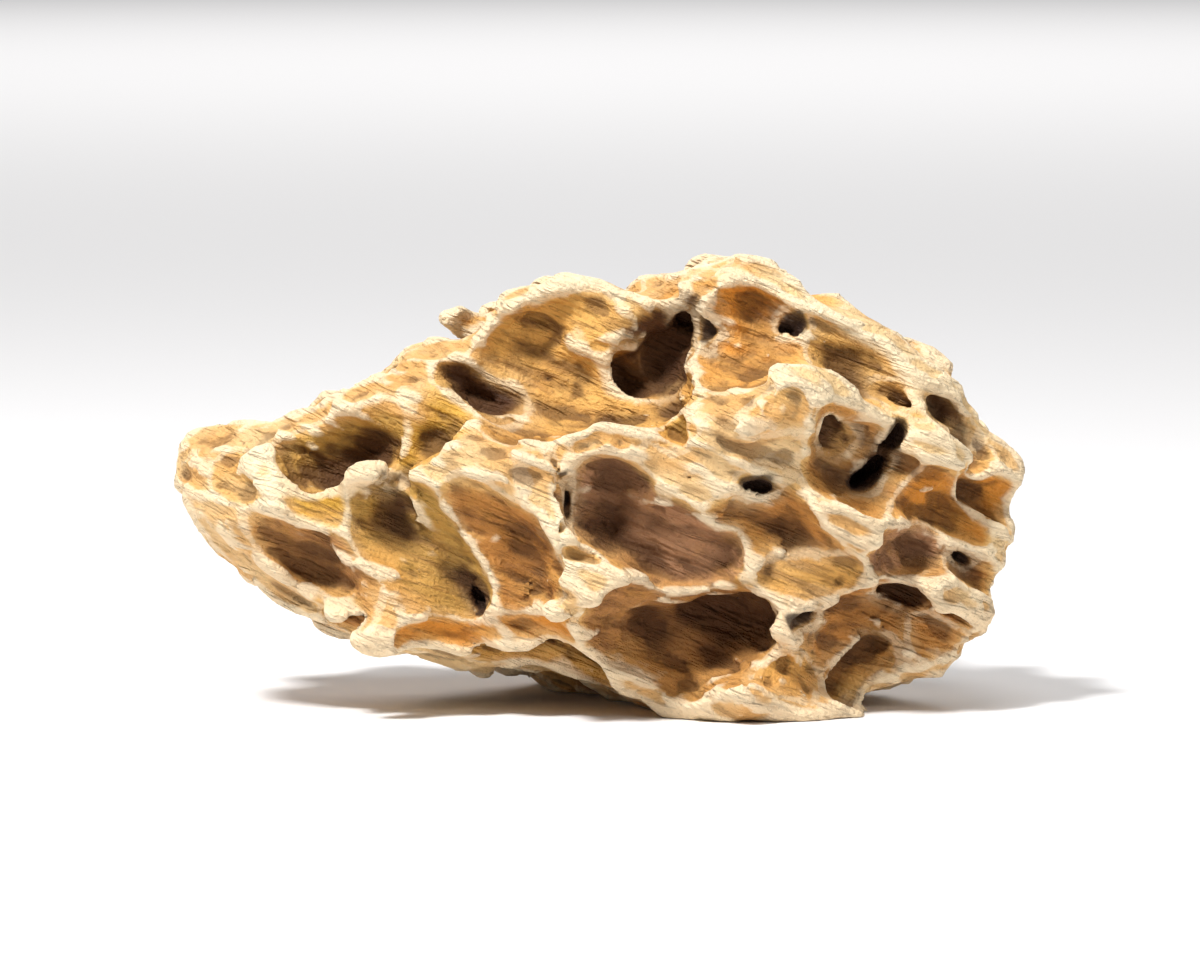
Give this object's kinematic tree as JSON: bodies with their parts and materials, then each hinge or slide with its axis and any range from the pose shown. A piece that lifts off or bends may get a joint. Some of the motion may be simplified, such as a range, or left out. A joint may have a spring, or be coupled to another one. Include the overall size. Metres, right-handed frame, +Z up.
{
  "type": "dragon stone",
  "caption": "Weathered clay rock, scooped all over by long pits with sharp pale crests, resting on a small flat foot.",
  "frame": {"origin": "on the resting surface, under the middle of the stone's box", "axes": "+X along the stone towards its pointed right-hand tip, +Y from its pitted front towards its back, +Z up"},
  "size_m": [0.1398, 0.0717, 0.0735],
  "materials": {
    "clay_rock": "matte"
  },
  "bodies": {
    "root": {"dragon_stone": "clay_rock"}
  },
  "joints": []
}
